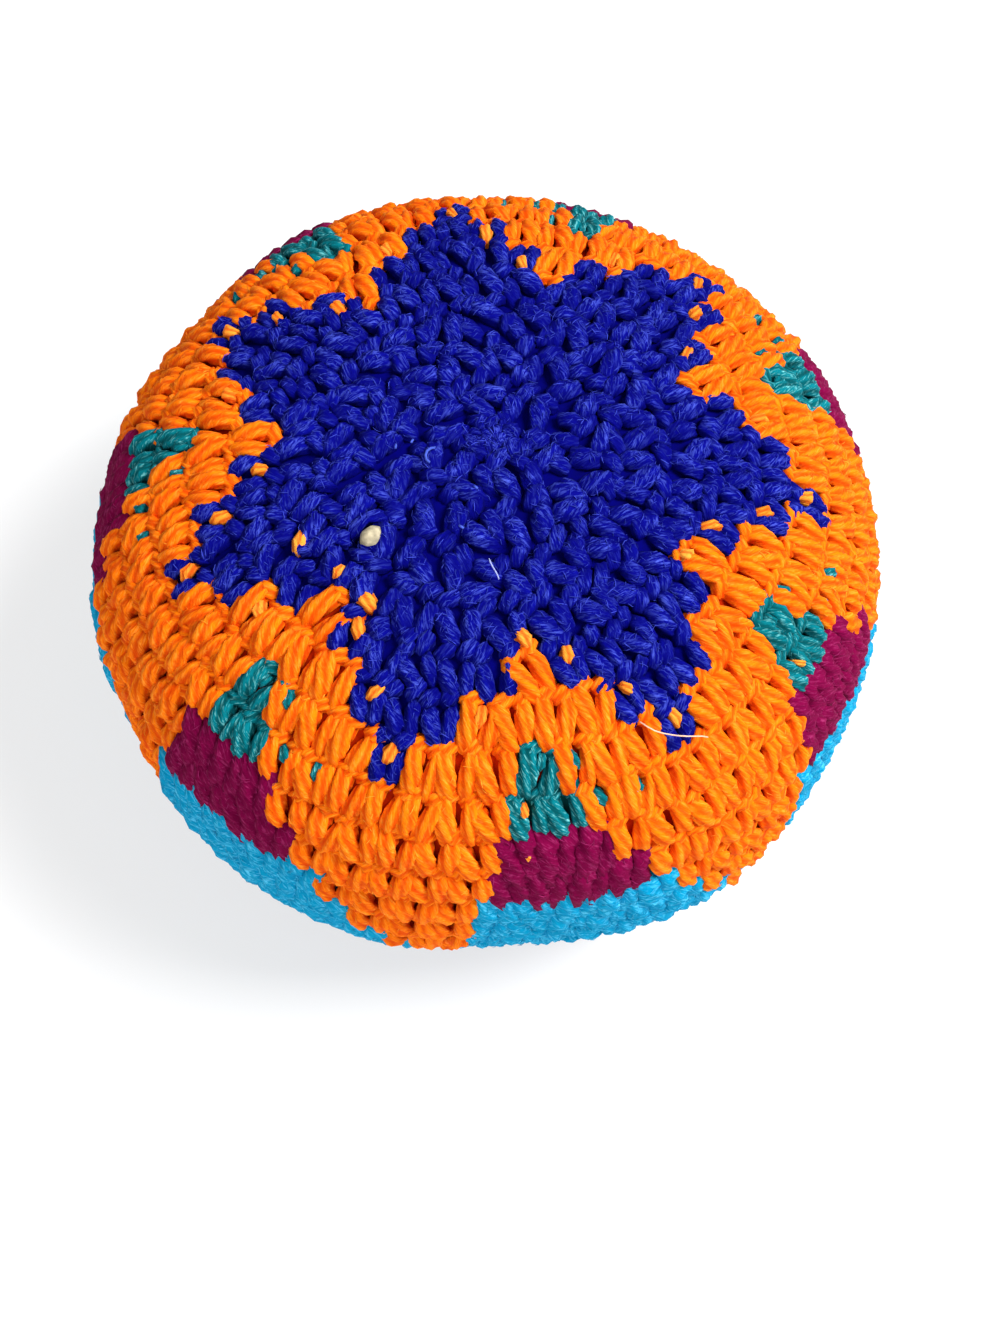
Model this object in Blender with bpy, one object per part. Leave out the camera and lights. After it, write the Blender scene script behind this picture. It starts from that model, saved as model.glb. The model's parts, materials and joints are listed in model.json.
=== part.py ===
"""Crocheted footbag with a seven-pointed star, filled with loose pellets.

The bag is worked in rounds, from a starting ring under it up to the middle of the star on top, where
the last stitches are drawn together. Each patch of one colour is a solid of its own, as thick as the
fabric, and its stepped edges follow the rounds and the stitches of the pattern below. The origin is the
centre of the flat face that the bag rests on, with +Z up.
"""
import math
import random

import bmesh
import bpy
import numpy as np
from mathutils import Vector

MM = 0.001

# Form of the bag
WAIST_RADIUS = 30.0 * MM        # out to the crests of the stitches, at the widest round
CROWN_HEIGHT = 22.0 * MM        # from the widest round up to the middle of the star
BELLY_DEPTH = 20.0 * MM         # from the widest round down to where the underside's curve would close
REST_RADIUS = 10.5 * MM         # flat patch that the filled bag settles on
CROWN_EXPONENT = 2.65           # how square the crown's shoulder is; 2 is an ellipse
BELLY_EXPONENT = 1.9

# Fabric and seams
FABRIC_WALL = 2.4 * MM          # thickness of one layer of crochet, at a round's crest
ROUND_GROOVE = 0.55 * MM        # how far the surface dips between two rounds
COLOUR_GAP = 0.34 * MM          # between the solids of two neighbouring colours
FIRST_ROUND_SHARE = 0.44        # of a round's height left in the last round once it is drawn together

# Fill
LINING_CLEARANCE = 0.5 * MM     # from the outermost pellets to the fabric's inner face
PELLET_HOLLOW = 0.9 * MM        # how far the surface of the fill dips between pellets
FILL_SEED = 7

# How finely the curved forms are cut into faces
SEVENTHS = 7
COLUMNS_PER_SEVENTH = 9
SNAPS_PER_SEVENTH = 36          # columns that the ends of the colours' runs keep to
SECTION_SAMPLES = 600
PLUG_SIDES = 28
KNOT_STEPS = 4
FILL_SUBDIVISIONS = 4

# Turn of the star about +Z, in degrees, to the notch that the pattern counts its sevenths from
STAR_TURN = 127.7

# The pattern, for one seventh of each round and the same in all seven, from the middle of the star out.
# A row holds the stitches in the seventh, the place of its first run as a share of the seventh, and the
# runs of colour, clockwise, in stitches. The widest round is the last of the crown's.
CROWN_ROWS = (
    (1, 0.00, (("knot", 1),)),
    (2, 0.00, (("blue", 2),)),
    (3, 0.00, (("blue", 3),)),
    (4, 0.00, (("blue", 4),)),
    (5, 0.00, (("blue", 5),)),
    (6, 0.06, (("blue", 5), ("orange", 1))),
    (7, 0.28, (("blue", 3), ("orange", 4))),
    (8, 0.45, (("blue", 1), ("orange", 3), ("teal", 1), ("orange", 3))),
    (9, 0.10, (("orange", 7), ("teal", 2))),
    (9, 0.14, (("orange", 6), ("maroon", 3))),
    (9, 0.16, (("orange", 5), ("maroon", 4))),
    (9, 0.19, (("orange", 4), ("turquoise", 5))),
    (9, 0.21, (("orange", 3), ("turquoise", 6))),
)
SIDE_ROWS = (
    (9, 0.23, (("orange", 2), ("turquoise", 7))),
    (9, 0.25, (("orange", 1), ("turquoise", 8))),
    (9, 0.00, (("ring", 9),)),
    (8, 0.00, (("base", 8),)),
    (7, 0.00, (("base", 7),)),
    (6, 0.00, (("base", 6),)),
    (5, 0.00, (("base", 5),)),
    (4, 0.00, (("base", 4),)),
)
FLOOR_ROWS = (
    (3, 0.00, (("base", 3),)),
    (2, 0.00, (("base", 2),)),
    (1, 0.00, (("start", 1),)),
)

# Colours of the yarns and the pellets, in sRGB
BLUE = (0.085, 0.085, 0.52)
ORANGE = (0.94, 0.42, 0.06)
TEAL = (0.02, 0.40, 0.42)
MAROON = (0.45, 0.02, 0.25)
TURQUOISE = (0.03, 0.60, 0.76)
CREAM = (0.80, 0.75, 0.65)
YARN_ROUGHNESS = 0.85
PELLET_ROUGHNESS = 0.45


def make_material(name, colour, roughness):
    """A plain Principled finish from an sRGB colour."""
    linear = [((c + 0.055) / 1.055) ** 2.4 if c > 0.04045 else c / 12.92 for c in colour]
    material = bpy.data.materials.new(name)
    material.use_nodes = True
    shader = material.node_tree.nodes["Principled BSDF"]
    shader.inputs["Base Color"].default_value = (*linear, 1.0)
    shader.inputs["Roughness"].default_value = roughness
    shader.inputs["Metallic"].default_value = 0.0
    material.diffuse_color = (*linear, 1.0)
    return material


def make_object(name, mesh_data, material):
    """Puts a finished bmesh in the scene as one named object, with its faces pointing out."""
    bmesh.ops.recalc_face_normals(mesh_data, faces=mesh_data.faces)
    mesh = bpy.data.meshes.new(name)
    mesh_data.to_mesh(mesh)
    mesh_data.free()
    mesh.materials.append(material)
    mesh.shade_smooth()
    mesh.set_sharp_from_angle(angle=math.radians(40))
    part = bpy.data.objects.new(name, mesh)
    bpy.context.collection.objects.link(part)
    return part


def superellipse(height, exponent):
    """Quarter section from the pole to the waist: radii, and heights over the waist."""
    turn = np.linspace(math.pi / 2, 0.0, SECTION_SAMPLES)
    radii = WAIST_RADIUS * np.cos(turn).clip(0.0) ** (2 / exponent)
    heights = height * np.sin(turn) ** (2 / exponent)
    return radii, heights


class Section:
    """The bag's half section, read by arc length from the top of the crown to the rest face's centre."""

    def __init__(self):
        crown_r, crown_h = superellipse(CROWN_HEIGHT, CROWN_EXPONENT)
        belly_r, belly_h = superellipse(BELLY_DEPTH, BELLY_EXPONENT)
        rest_share = REST_RADIUS / WAIST_RADIUS
        self.waist = BELLY_DEPTH * (1 - rest_share ** BELLY_EXPONENT) ** (1 / BELLY_EXPONENT)
        side = belly_r > REST_RADIUS
        side_r = np.append(belly_r[side][::-1], REST_RADIUS)
        side_z = np.append(self.waist - belly_h[side][::-1], 0.0)
        floor_r = np.linspace(REST_RADIUS, 0.0, SECTION_SAMPLES)
        self.radii = np.concatenate([crown_r, side_r[1:], floor_r[1:]])
        self.heights = np.concatenate([self.waist + crown_h, side_z[1:], 0 * floor_r[1:]])
        steps = np.hypot(np.diff(self.radii), np.diff(self.heights))
        self.arcs = np.concatenate([[0.0], np.cumsum(steps)])
        self.crown_arc = self.arcs[len(crown_r) - 1]
        self.side_arc = self.arcs[len(crown_r) + len(side_r) - 2]
        self.full_arc = self.arcs[-1]
        self.run_r = np.gradient(self.radii, self.arcs)
        self.run_z = np.gradient(self.heights, self.arcs)

    def point(self, arc, depth=0.0):
        """Radius and height at an arc length, at a depth under the surface."""
        out_r = -np.interp(arc, self.arcs, self.run_z)
        out_z = np.interp(arc, self.arcs, self.run_r)
        size = math.hypot(out_r, out_z)
        radius = np.interp(arc, self.arcs, self.radii) - depth * out_r / size
        height = np.interp(arc, self.arcs, self.heights) - depth * out_z / size
        return max(radius, 0.0), height


def row_edges(section):
    """Arc lengths of the lines between rounds, from the top of the crown to the rest face's centre."""
    crown_pitch = section.crown_arc / (len(CROWN_ROWS) - 1 + FIRST_ROUND_SHARE)
    edges = [0.0]
    edges += [(count + FIRST_ROUND_SHARE) * crown_pitch for count in range(len(CROWN_ROWS))]
    side_pitch = (section.side_arc - section.crown_arc) / len(SIDE_ROWS)
    edges += [section.crown_arc + side_pitch * (count + 1) for count in range(len(SIDE_ROWS))]
    floor_pitch = (section.full_arc - section.side_arc) / len(FLOOR_ROWS)
    edges += [section.side_arc + floor_pitch * (count + 1) for count in range(len(FLOOR_ROWS))]
    return edges


def snapped(place):
    """The nearest column that a run may end on."""
    return round(place * SNAPS_PER_SEVENTH) / SNAPS_PER_SEVENTH


def colour_runs(colour):
    """Every run of a colour: its row, its nearest notch, and its start and end counted in sevenths."""
    runs = []
    for row, (stitches, start_share, colours) in enumerate(CROWN_ROWS + SIDE_ROWS + FLOOR_ROWS):
        start = start_share
        for name, count in colours:
            end = start + count / stitches
            if name == colour:
                first_notch = round((start + end) / 2)
                runs += [(row, (first_notch + seventh) % SEVENTHS, snapped(start) + seventh,
                          snapped(end) + seventh) for seventh in range(SEVENTHS)]
            start = end
    return runs


def relief(line):
    """Depth of the outer surface at a line between rounds: a groove, but none on the flat rest face."""
    return ROUND_GROOVE if line < len(CROWN_ROWS) + len(SIDE_ROWS) else 0.0


def azimuth(place):
    """Angle about +Z of a place counted in sevenths, clockwise from the notch that the pattern starts at."""
    return math.radians(STAR_TURN) - place * 2 * math.pi / SEVENTHS


def shell_field(name, section, edges, runs, material):
    """One colour's patch: the rows' runs joined into a closed shell, drawn in by half a gap all round.

    The patch is cut into cells by the lines between rounds and by columns through every run's ends.
    """
    places = {round(end % SEVENTHS, 6) for run in runs for end in run[2:]}
    ring = any(end - start > 1 - 1e-6 for _, _, start, end in runs)
    steps = SEVENTHS * COLUMNS_PER_SEVENTH
    spare = 0.5 / COLUMNS_PER_SEVENTH
    for step in range(steps):
        place = round(step / COLUMNS_PER_SEVENTH, 6)
        apart = [abs((place - other + SEVENTHS / 2) % SEVENTHS - SEVENTHS / 2) for other in places]
        inside = ring or any((place - start) % SEVENTHS < end - start for _, _, start, end in runs)
        if inside and min(apart) > spare:
            places.add(place)
    columns = sorted(places)
    count = len(columns)
    cells = set()
    for row, _, start, end in runs:
        for column in range(count):
            width = (columns[(column + 1) % count] - columns[column]) % SEVENTHS
            middle = columns[column] + width / 2
            if (middle - start) % SEVENTHS < end - start:
                cells.add((row, column))

    def shift(left_out, right_out):
        """Which way an outline's point moves inwards between a cell on its left and one on its right."""
        return max(-1, min(1, left_out - right_out))

    mesh_data = bmesh.new()
    made = {}

    def vertex(line, column, depth, halfway=False):
        """A point of the grid, or one halfway to the next line; on an outline it moves in by half a gap."""
        key = (line, column, depth, halfway)
        if key in made:
            return made[key]
        before = (column - 1) % count
        left, right = (line, before) not in cells, (line, column) not in cells
        upper_left, upper_right = (line - 1, before) not in cells, (line - 1, column) not in cells
        if halfway:
            across, along = shift(left, right), 0
            arc = (edges[line] + edges[line + 1]) / 2
        else:
            across = shift(left + upper_left, right + upper_right)
            along = shift(upper_left + upper_right, left + right)
            arc = edges[line]
        arc += along * COLOUR_GAP / 2
        angle = azimuth(columns[column]) - across * COLOUR_GAP / 2 / section.point(arc)[0]
        radius, height = section.point(arc, depth)
        made[key] = mesh_data.verts.new((radius * math.cos(angle), radius * math.sin(angle), height))
        return made[key]

    def outer(line, column):
        return vertex(line, column, relief(line))

    def crest(row, column):
        return vertex(row, column, 0.0, halfway=True)

    def inner(line, column):
        return vertex(line, column, FABRIC_WALL)

    for row, column in sorted(cells):
        after = (column + 1) % count
        below = row + 1
        faces = [
            (outer(row, column), outer(row, after), crest(row, after), crest(row, column)),
            (crest(row, column), crest(row, after), outer(below, after), outer(below, column)),
            (inner(below, column), inner(below, after), inner(row, after), inner(row, column)),
        ]
        if (row - 1, column) not in cells:
            faces.append((outer(row, after), outer(row, column), inner(row, column), inner(row, after)))
        if (below, column) not in cells:
            faces.append((outer(below, column), outer(below, after), inner(below, after), inner(below, column)))
        for side, neighbour in ((column, (row, (column - 1) % count)), (after, (row, after))):
            if neighbour not in cells:
                faces.append((outer(row, side), crest(row, side), outer(below, side),
                              inner(below, side), inner(row, side)))
        for face in faces:
            mesh_data.faces.new(face)
    return make_object(name, mesh_data, material)


def turned_plug(name, outline, material):
    """A solid turned about +Z from an outline of radii and heights that starts and ends on the axis."""
    mesh_data = bmesh.new()
    points = [mesh_data.verts.new((radius, 0.0, height)) for radius, height in outline]
    lines = [mesh_data.edges.new(pair) for pair in zip(points, points[1:])]
    bmesh.ops.spin(mesh_data, geom=points + lines, cent=(0, 0, 0), axis=(0, 0, 1),
                   angle=2 * math.pi, steps=PLUG_SIDES, use_merge=True)
    bmesh.ops.remove_doubles(mesh_data, verts=mesh_data.verts, dist=COLOUR_GAP / 100)
    return make_object(name, mesh_data, material)


def closing_knot(section, edges, material):
    """The last round on top, drawn together on its tail into one small round lump."""
    rim = edges[1] - COLOUR_GAP / 2
    steps = [step / KNOT_STEPS for step in range(KNOT_STEPS + 1)]
    dome = [section.point(rim * share, ROUND_GROOVE * share ** 2) for share in steps]
    radius, height = section.point(rim, FABRIC_WALL)
    return turned_plug("closing_knot", dome + [(radius, height), (0.0, height)], material)


def starting_ring(edges, material):
    """The first round, pulled shut on its ring, in the middle of the flat rest face."""
    radius = edges[-1] - edges[-2] - COLOUR_GAP / 2
    outline = [(0.0, FABRIC_WALL), (radius, FABRIC_WALL), (radius, 0.0), (0.0, 0.0)]
    return turned_plug("starting_ring", outline, material)


def pellet_fill(section, material):
    """The settled pellets as one body that fills the bag, uneven where pellets press on the lining."""
    draw = random.Random(FILL_SEED)
    mesh_data = bmesh.new()
    bmesh.ops.create_icosphere(mesh_data, subdivisions=FILL_SUBDIVISIONS, radius=1.0)
    for vert in mesh_data.verts:
        arc = section.full_arc * math.acos(max(-1.0, min(1.0, vert.co.z))) / math.pi
        depth = FABRIC_WALL + LINING_CLEARANCE + PELLET_HOLLOW * draw.random()
        radius, height = section.point(arc, depth)
        angle = math.atan2(vert.co.y, vert.co.x)
        vert.co = Vector((radius * math.cos(angle), radius * math.sin(angle), height))
    return make_object("pellet_fill", mesh_data, material)


def build():
    for old in list(bpy.data.objects):
        bpy.data.objects.remove(old, do_unlink=True)
    yarns = {name: make_material(name + "_yarn", colour, YARN_ROUGHNESS)
             for name, colour in (("blue", BLUE), ("orange", ORANGE), ("teal", TEAL),
                                  ("maroon", MAROON), ("turquoise", TURQUOISE))}
    section = Section()
    edges = row_edges(section)
    closing_knot(section, edges, yarns["blue"])
    shell_field("star_field", section, edges, colour_runs("blue"), yarns["blue"])
    shell_field("orange_field", section, edges, colour_runs("orange"), yarns["orange"])
    for colour, word in (("teal", "teal_patch"), ("maroon", "maroon_band"), ("turquoise", "turquoise_band")):
        runs = colour_runs(colour)
        for notch in range(SEVENTHS):
            own = [run for run in runs if run[1] == notch]
            shell_field(f"{word}_{notch + 1}", section, edges, own, yarns[colour])
    shell_field("turquoise_ring", section, edges, colour_runs("ring"), yarns["turquoise"])
    shell_field("base_field", section, edges, colour_runs("base"), yarns["blue"])
    starting_ring(edges, yarns["blue"])
    pellet_fill(section, make_material("pellet", CREAM, PELLET_ROUGHNESS))


build()
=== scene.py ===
"""Looks of a crocheted footbag: every stitch, the yarns, the lining behind them and the loose pellets.

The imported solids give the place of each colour. Here each of them is worked again in single crochet,
stitch by stitch, from the same chart of rounds as the solids. A patch's stitches are points on the bag's
surface, and a node tree sets a stitch of twisted yarn on each, lays the lining behind them and spreads
fine fibres over them. Lengths are in metres and +Z is up.
"""
import json
import random
from math import cos, exp, hypot, pi, radians, sin, sqrt

import bmesh
import bpy
import numpy as np
from mathutils import Matrix, Vector

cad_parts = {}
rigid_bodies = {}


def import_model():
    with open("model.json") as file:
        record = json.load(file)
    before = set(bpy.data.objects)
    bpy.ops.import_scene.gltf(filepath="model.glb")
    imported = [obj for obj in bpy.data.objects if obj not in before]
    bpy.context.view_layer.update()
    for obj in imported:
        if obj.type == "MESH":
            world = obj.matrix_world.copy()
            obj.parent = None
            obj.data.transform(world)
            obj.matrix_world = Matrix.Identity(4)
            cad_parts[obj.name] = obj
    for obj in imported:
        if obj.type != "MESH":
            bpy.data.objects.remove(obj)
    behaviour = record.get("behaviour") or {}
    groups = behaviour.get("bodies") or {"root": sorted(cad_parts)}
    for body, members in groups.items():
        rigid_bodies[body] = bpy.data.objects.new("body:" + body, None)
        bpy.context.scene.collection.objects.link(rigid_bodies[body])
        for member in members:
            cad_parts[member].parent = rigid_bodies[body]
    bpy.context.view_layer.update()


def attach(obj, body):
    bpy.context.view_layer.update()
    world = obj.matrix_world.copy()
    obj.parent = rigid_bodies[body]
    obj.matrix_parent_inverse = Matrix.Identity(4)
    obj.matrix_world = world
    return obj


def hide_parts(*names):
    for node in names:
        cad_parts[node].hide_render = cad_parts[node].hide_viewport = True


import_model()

MM = 0.001

# Form of the bag, as in the solids
WAIST_RADIUS = 30.0 * MM
CROWN_HEIGHT = 22.0 * MM
BELLY_DEPTH = 20.0 * MM
REST_RADIUS = 10.5 * MM
CROWN_EXPONENT = 2.65
BELLY_EXPONENT = 1.9
FABRIC_WALL = 2.4 * MM
FIRST_ROUND_SHARE = 0.44
SECTION_SAMPLES = 600
SEVENTHS = 7
STAR_TURN = 127.7  # degrees

# The chart, for one seventh of each round and the same in all seven, from the middle of the star out.
# A row holds the stitches in the seventh, the place of its first run as a share of the seventh, and the
# runs of colour, clockwise, in stitches.
CROWN_ROWS = (
    (1, 0.00, (("knot", 1),)),
    (1, 0.00, (("blue", 1),)),
    (2, 0.00, (("blue", 2),)),
    (3, 0.08, (("blue", 3),)),
    (4, 0.205, (("blue", 4),)),
    (6, 0.06, (("blue", 5), ("orange", 1))),
    (7, 0.28, (("blue", 3), ("orange", 4))),
    (8, 0.45, (("blue", 1), ("orange", 3), ("teal", 1), ("orange", 3))),
    (9, 0.10, (("orange", 7), ("teal", 2))),
    (9, 0.14, (("orange", 6), ("maroon", 3))),
    (9, 0.16, (("orange", 5), ("maroon", 4))),
    (9, 0.19, (("orange", 4), ("turquoise", 5))),
    (9, 0.21, (("orange", 3), ("turquoise", 6))),
)
SIDE_ROWS = (
    (9, 0.23, (("orange", 2), ("turquoise", 7))),
    (9, 0.25, (("orange", 1), ("turquoise", 8))),
    (9, 0.27, (("ring", 9),)),
    (8, 0.29, (("base", 8),)),
    (7, 0.31, (("base", 7),)),
    (6, 0.33, (("base", 6),)),
    (5, 0.35, (("base", 5),)),
    (4, 0.37, (("base", 4),)),
)
FLOOR_ROWS = (
    (3, 0.39, (("base", 3),)),
    (2, 0.41, (("base", 2),)),
    (1, 0.43, (("start", 1),)),
)
ROWS = CROWN_ROWS + SIDE_ROWS + FLOOR_ROWS

# The parts of one stitch: two arms, and at its open end, towards the star's middle, the loops that hold
# the next round, which are a ridge and a hook, or one bar where the yarn is felted. A part's rows hold,
# as shares, its place along the stitch's height, across its width, out of the fabric and its half
# thickness, the last three of the width.
STITCH_WIDTH = 3.0 * MM
LEFT_ARM = (
    (-0.45, 0.36, -0.3, 0.19), (-0.39, 0.36, -0.03, 0.275), (-0.21, 0.338, 0.065, 0.298),
    (0.0, 0.298, 0.08, 0.304), (0.19, 0.256, 0.04, 0.296), (0.37, 0.222, -0.07, 0.27),
    (0.46, 0.205, -0.34, 0.19),
)
RIGHT_ARM = (
    (-0.43, -0.355, -0.31, 0.18), (-0.37, -0.35, -0.05, 0.265), (-0.2, -0.325, 0.035, 0.286),
    (0.0, -0.284, 0.05, 0.292), (0.19, -0.242, 0.015, 0.284), (0.36, -0.208, -0.09, 0.26),
    (0.45, -0.19, -0.36, 0.18),
)
RIDGE = (
    (-0.43, 0.55, -0.3, 0.15), (-0.46, 0.44, -0.08, 0.21), (-0.51, 0.25, -0.02, 0.235),
    (-0.56, 0.08, -0.07, 0.21), (-0.58, -0.01, -0.3, 0.14),
)
HOOK = (
    (-0.42, 0.03, -0.3, 0.14), (-0.45, -0.08, -0.08, 0.205), (-0.52, -0.25, -0.025, 0.235),
    (-0.57, -0.42, -0.07, 0.21), (-0.6, -0.52, -0.3, 0.14),
)
BAR = (
    (-0.6, 0.54, -0.26, 0.17), (-0.5, 0.18, -0.14, 0.27), (-0.5, -0.18, -0.15, 0.27),
    (-0.62, -0.54, -0.28, 0.17),
)
FELTED_LEFT = (
    (-0.64, 0.3, -0.36, 0.2), (-0.56, 0.295, -0.08, 0.37), (-0.3, 0.28, -0.045, 0.41),
    (0.0, 0.255, -0.04, 0.415), (0.3, 0.23, -0.05, 0.41), (0.56, 0.21, -0.09, 0.37),
    (0.64, 0.2, -0.38, 0.2),
)
FELTED_RIGHT = (
    (-0.63, -0.3, -0.37, 0.195), (-0.55, -0.29, -0.09, 0.36), (-0.29, -0.275, -0.055, 0.4),
    (0.0, -0.25, -0.05, 0.405), (0.29, -0.225, -0.06, 0.4), (0.55, -0.205, -0.1, 0.36),
    (0.63, -0.195, -0.39, 0.19),
)
LOOSE_LEFT = (
    (-0.34, 0.355, -0.34, 0.115), (-0.28, 0.355, -0.08, 0.205), (-0.13, 0.335, 0.05, 0.252),
    (0.06, 0.29, 0.08, 0.268), (0.24, 0.24, 0.03, 0.255), (0.38, 0.2, -0.12, 0.205),
    (0.44, 0.18, -0.38, 0.115),
)
LOOSE_RIGHT = (
    (-0.32, -0.335, -0.36, 0.115), (-0.26, -0.335, -0.11, 0.198), (-0.12, -0.31, 0.02, 0.242),
    (0.06, -0.265, 0.045, 0.258), (0.23, -0.22, -0.005, 0.245), (0.37, -0.185, -0.15, 0.198),
    (0.43, -0.165, -0.39, 0.11),
)
LOOSE_RIDGE = (
    (-0.4, 0.52, -0.3, 0.11), (-0.42, 0.44, -0.03, 0.19), (-0.47, 0.28, 0.055, 0.225),
    (-0.53, 0.12, 0.01, 0.205), (-0.56, 0.04, -0.28, 0.11),
)
LOOSE_HOOK = (
    (-0.36, 0.02, -0.3, 0.11), (-0.41, -0.07, -0.02, 0.19), (-0.49, -0.22, 0.07, 0.225),
    (-0.56, -0.37, 0.01, 0.2), (-0.59, -0.46, -0.28, 0.11),
)
SPECK = (
    (-0.36, 0.05, -0.24, 0.09), (-0.24, 0.03, -0.01, 0.2), (0.0, 0.0, 0.06, 0.25),
    (0.22, -0.03, -0.01, 0.18), (0.36, -0.05, -0.24, 0.08),
)

# How the yarns are worked: tight, felted or loose. Each way has the parts of its stitch and its slack,
# which is how far one kind of stitch strays from the plain one, as a share of the width.
TIGHT, FELTED, LOOSE = range(3)
WAYS = (
    ((LEFT_ARM, RIGHT_ARM, RIDGE, HOOK), 0.065),
    ((FELTED_LEFT, FELTED_RIGHT, BAR), 0.025),
    ((LOOSE_LEFT, LOOSE_RIGHT, LOOSE_RIDGE, LOOSE_HOOK), 0.100),
)
SPECK_SLACK = 0.03
STITCH_SINK = 1.0 * MM  # of a part's middle line under the bag's surface
STITCH_KINDS = 6  # of each way
SPECK_KIND = len(WAYS) * STITCH_KINDS

# Twist of the yarn
PLIES = 5
PLY_SIDES = (1.0, 1.0, 0.80)  # reach of the sides of one ply, the last in the groove beside it
TUBE_SIDES = PLIES * len(PLY_SIDES)
PLY_CREST = pi / len(PLY_SIDES)
PLY_TWIST = 0.55 / MM  # radians of turn for each metre of yarn
FIBRE_TWIST = 0.80 / MM  # the same, of the fibres against their ply
ARM_FLATNESS = 0.92

# How the stitches differ from each other
CHART_SEED = 11
STITCH_STRAY = 0.14 * MM
STITCH_LEAN = 8.5  # degrees
STITCH_SWELL_SHARE = 0.08
STITCH_GROWTH = (-0.03, 0.05)  # of its height, least and most
LEAST_WIDTH_SHARE = 0.8
WHORL_LEAN = 42.0  # degrees, of the first rounds, which wind into the closing knot
WHORL_ROWS = 6
WAVER = 0.50 * MM  # how far the fabric's surface strays from its even form
WAVER_SCALE = 190.0
ROUGH_SCALE = 800.0  # of the fine unevenness of the yarn
HOLE_SHARE = 0.28  # of a stitch's height, from its open end to the hole between its arms

# Dents and bulges of the settled bag round its waist: azimuth and spread in degrees, and rise
UNEVEN_PLACES = ((-82.0, 13.0, -0.95 * MM), (-150.0, 9.0, -0.45 * MM), (150.0, 10.0, -0.50 * MM),
                 (122.0, 11.0, 0.60 * MM), (-48.0, 10.0, 0.45 * MM), (-163.0, 6.0, 0.40 * MM))
UNEVEN_REACH = 20.0 * MM
REST_SINK = 0.40 * MM  # of the stitches that the bag rests on

# Lining behind the stitches, standing for the yarn behind them; its darker colour is painted shade in the
# holes
LINING_DEPTH = 1.30 * MM
FELTED_DEPTH = 0.60 * MM
LINING_COLUMNS = 36  # to a seventh
LINING_STEPS = 2  # to a round

# Fibres that stand off the yarn
FIBRE_LENGTH = 0.6 * MM
FIBRE_SIZES = (0.45, 1.3)  # least and most, as shares of the length
FIBRE_RISE = 0.07 * MM
FIBRE_ARCH = 4.5  # of the rise, with its ends this much under the yarn's skin
FIBRE_END_DEPTH = 0.4
FIBRE_SWAY = 0.03  # of the length, to the sides
FIBRE_SWAY_TURN = 5.0
FIBRE_TAPER = 0.6
FIBRE_RADIUS = 0.032 * MM
FIBRE_SIDES = 3
FIBRE_STEPS = 2
FIBRE_TILT = 0.25  # radians
FIBRE_LIMIT = 0.15  # how far yarn has to face outwards, less its tuck, to carry fibres
SQUARE_CENTIMETRE = (10 * MM) ** 2
BASE_THINNING = 12  # the underside has so many times fewer fibres

# Stray threads on the star: radius in metres, then places as sevenths clockwise, arc and height in mm
THREAD_SIDES = 6
PALE_THREAD = (0.05 * MM, ((3.69, 21.0, 0.0), (3.65, 22.1, 0.6), (3.62, 23.0, 0.75), (3.575, 23.7, 0.75),
                           (3.525, 24.4, 0.75), (3.48, 24.9, 0.75), (3.455, 25.5, 0.6), (3.42, 26.2, 0.0)))
WHITE_THREAD = (0.045 * MM, ((4.20, 8.7, 0.0), (4.20, 9.3, 0.42), (4.17, 9.9, 0.5), (4.13, 10.5, 0.48),
                             (4.12, 11.0, 0.35), (4.06, 11.3, -0.1)))
# The light blue loop and dashes are blue fibres, coloured light blue as a painted highlight
BLUE_GLINT_LOOP = (0.10 * MM, ((5.50, 3.6, 0.0), (5.62, 4.0, 0.36), (5.58, 4.7, 0.45), (5.42, 5.0, 0.42),
                         (5.30, 4.6, 0.30), (5.34, 4.1, -0.1)))
BLUE_GLINT_DASHES = ((0.09 * MM, ((5.86, 6.3, -0.1), (5.78, 6.6, 0.32), (5.66, 6.7, 0.38), (5.58, 6.5, -0.1))),
               (0.08 * MM, ((5.92, 5.1, -0.1), (5.82, 5.4, 0.32), (5.72, 5.7, 0.35), (5.66, 5.6, -0.1))),
               (0.09 * MM, ((4.60, 6.9, -0.1), (4.52, 7.3, 0.32), (4.40, 7.5, 0.35), (4.34, 7.2, -0.1))),
               (0.08 * MM, ((4.66, 3.9, -0.1), (4.50, 4.2, 0.32), (4.36, 4.5, 0.35), (4.28, 4.3, -0.1))))

# Pellets
PELLET_RADIUS = 1.8 * MM
PELLET_FLATNESS = 0.86
PELLET_SPACING = 3.75 * MM
PELLET_SHAKE = 0.03  # of the spacing
LINING_CLEARANCE = 0.5 * MM
PELLET_SHOWING_RISE = 0.20 * MM
PELLET_SHOWING_SIZE = (0.40, 0.49, 0.48)
PARTING = 0.78 * MM  # how far the showing pellet pushes the yarn aside
PARTING_REACH = 1.5 * MM

# Noise in the yarn. Along the yarn it has its features around for each radius, its features along for
# each millimetre and its detail, and elsewhere its scale and its detail.
FIBRE_NOISE = (5.5, 1.2, 3.0)
DASH_NOISE = (4.4, 2.0, 2.0)
LINT = (4600.0, 2.0)
WASH = (110.0, 2.0)
CLUMPS = (620.0, 1.0)
# Painted shade: the share by which yarn darkens at its greatest depth under the bag's surface
PAINTED_DEPTH_SHADE = 0.78
YARN_BUMP = 0.14 * MM
GRAIN_BUMP = 0.1 * MM
GLOSS = 0.05

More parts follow.
